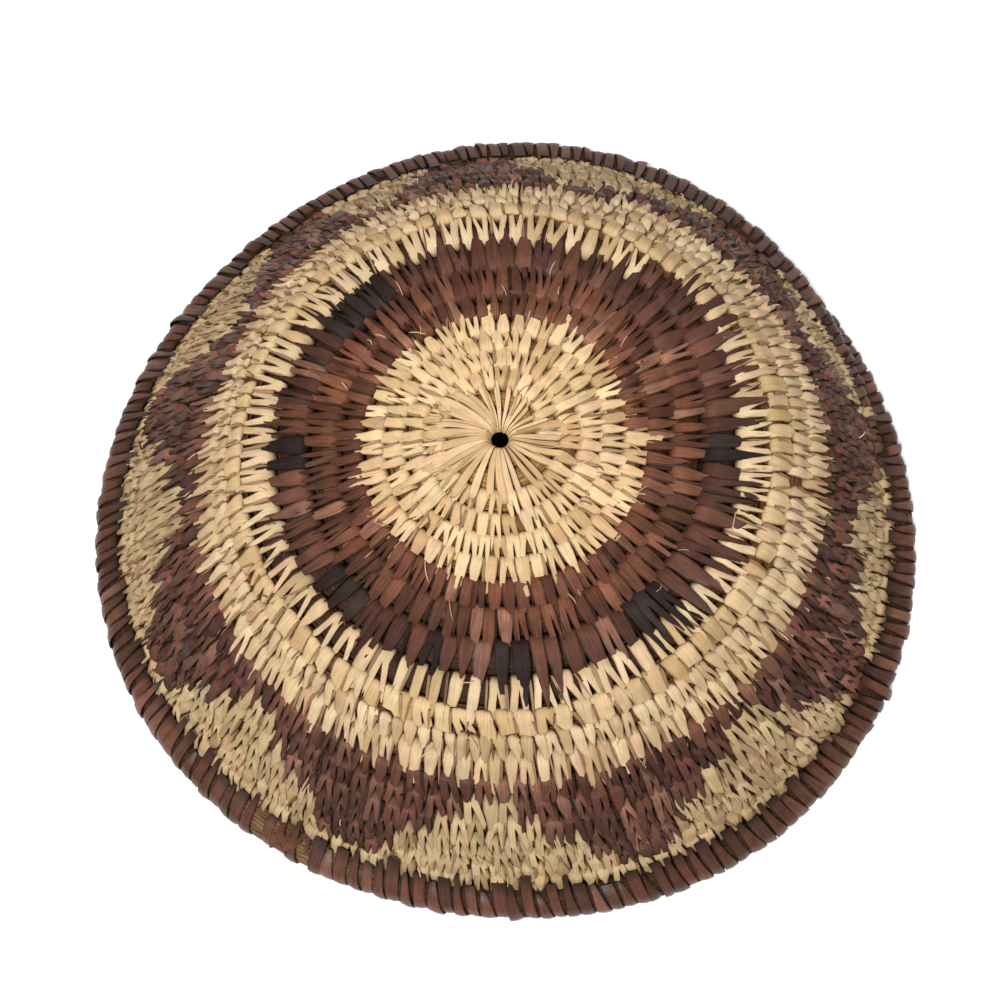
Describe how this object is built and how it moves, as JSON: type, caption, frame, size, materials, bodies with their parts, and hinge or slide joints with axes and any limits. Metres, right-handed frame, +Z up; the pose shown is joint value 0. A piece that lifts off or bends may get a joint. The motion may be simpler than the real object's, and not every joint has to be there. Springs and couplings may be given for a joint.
{
  "type": "coiled basketry bowl",
  "caption": "Shallow coiled basketry bowl with a flat base and flaring wall, sewn in natural and brown splints, shown upside down on its rim.",
  "frame": {"origin": "centre of the bowl on the plane that its rim rests on", "axes": "+Z up through the base, because the bowl stands upside down on its rim as pictured; its mouth faces -Z. Turned over about X, it stands on its flat base with the mouth up. +X is the right side of the picture and -Y the side nearest the camera."},
  "size_m": [0.3246, 0.3264, 0.0607],
  "materials": {
    "natural_splint": "split leaf splint, pale tan, satin, faint lengthwise grain",
    "brown_splint": "split leaf splint dyed reddish brown, satin, faint lengthwise grain",
    "stem_bundle": "dry grass stems, matt, brown-tan, seen in the gaps between splints"
  },
  "bodies": {
    "root": {"foundation_coil": "stem_bundle", "centre_fan": "natural_splint", "natural_base_course_1": "natural_splint", "natural_base_course_2": "natural_splint", "natural_base_course_3": "natural_splint", "natural_base_course_4": "natural_splint", "brown_base_course_1": "brown_splint", "brown_base_course_2": "brown_splint", "brown_base_course_3": "brown_splint", "edge_course": "natural_splint", "corner_course": "natural_splint", "natural_wall_course_1": "natural_splint", "natural_wall_course_2": "natural_splint", "brown_wall_course": "brown_splint", "natural_figure_1": "natural_splint", "natural_figure_2": "natural_splint", "natural_figure_3": "natural_splint", "natural_figure_4": "natural_splint", "natural_figure_5": "natural_splint", "natural_figure_6": "natural_splint", "natural_figure_7": "natural_splint", "natural_figure_8": "natural_splint", "natural_figure_9": "natural_splint", "brown_figure_1": "brown_splint", "brown_figure_2": "brown_splint", "brown_figure_3": "brown_splint", "brown_figure_4": "brown_splint", "brown_figure_5": "brown_splint", "brown_figure_6": "brown_splint", "brown_figure_7": "brown_splint", "brown_figure_8": "brown_splint", "brown_figure_9": "brown_splint", "rim_binding": "brown_splint"}
  },
  "joints": []
}
